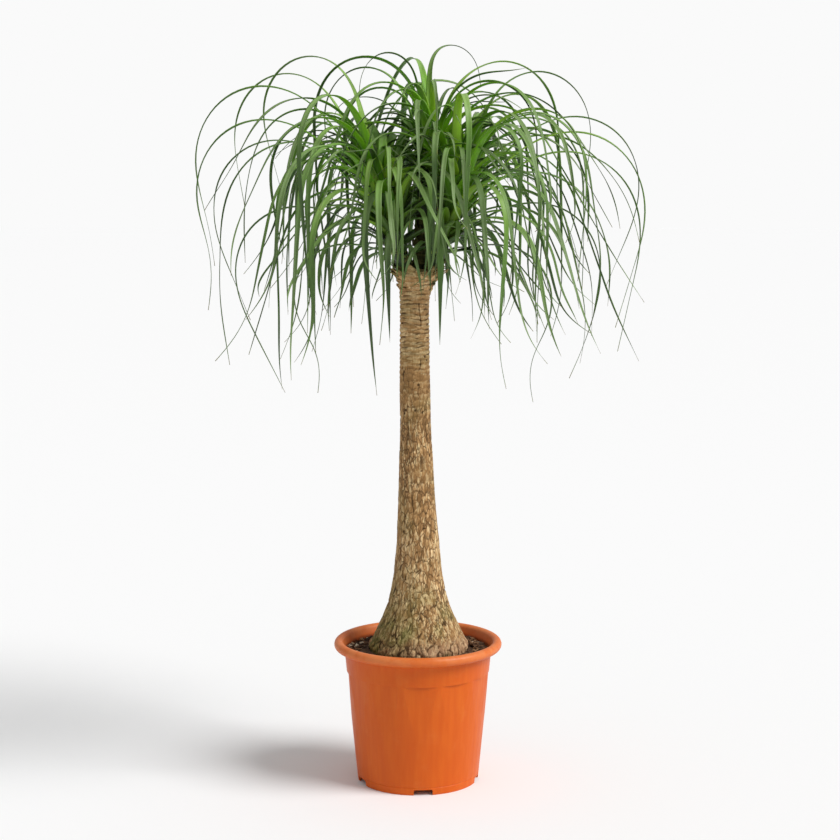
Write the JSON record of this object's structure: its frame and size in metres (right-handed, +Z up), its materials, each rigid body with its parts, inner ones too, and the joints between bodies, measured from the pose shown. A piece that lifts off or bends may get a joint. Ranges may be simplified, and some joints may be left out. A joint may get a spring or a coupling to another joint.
{
  "type": "potted ponytail palm",
  "caption": "Ponytail palm with a swollen corky stem and drooping strap leaves in a plain orange nursery pot with a rolled rim.",
  "frame": {"origin": "centre of the pot's underside, on the surface it stands on", "axes": "+Z up along the stem; -Y towards the viewer of the picture; +X to the picture's right"},
  "size_m": [0.6994, 0.6049, 1.1734],
  "materials": {
    "pot_plastic": "satin injection-moulded polypropylene, orange",
    "potting_soil": "loose potting mix of bark chips and peat",
    "bark": "dry corky bark, cracked into plates, with rings of leaf scars higher up",
    "leaf": "smooth waxy leaf, satin, with fine lengthwise veins"
  },
  "bodies": {
    "root": {"pot": "pot_plastic", "soil": "potting_soil", "stem": "bark", "head_left": "leaf", "head_right": "leaf", "head_back_left": "leaf", "head_back_right": "leaf", "head_top": "leaf"}
  },
  "joints": []
}
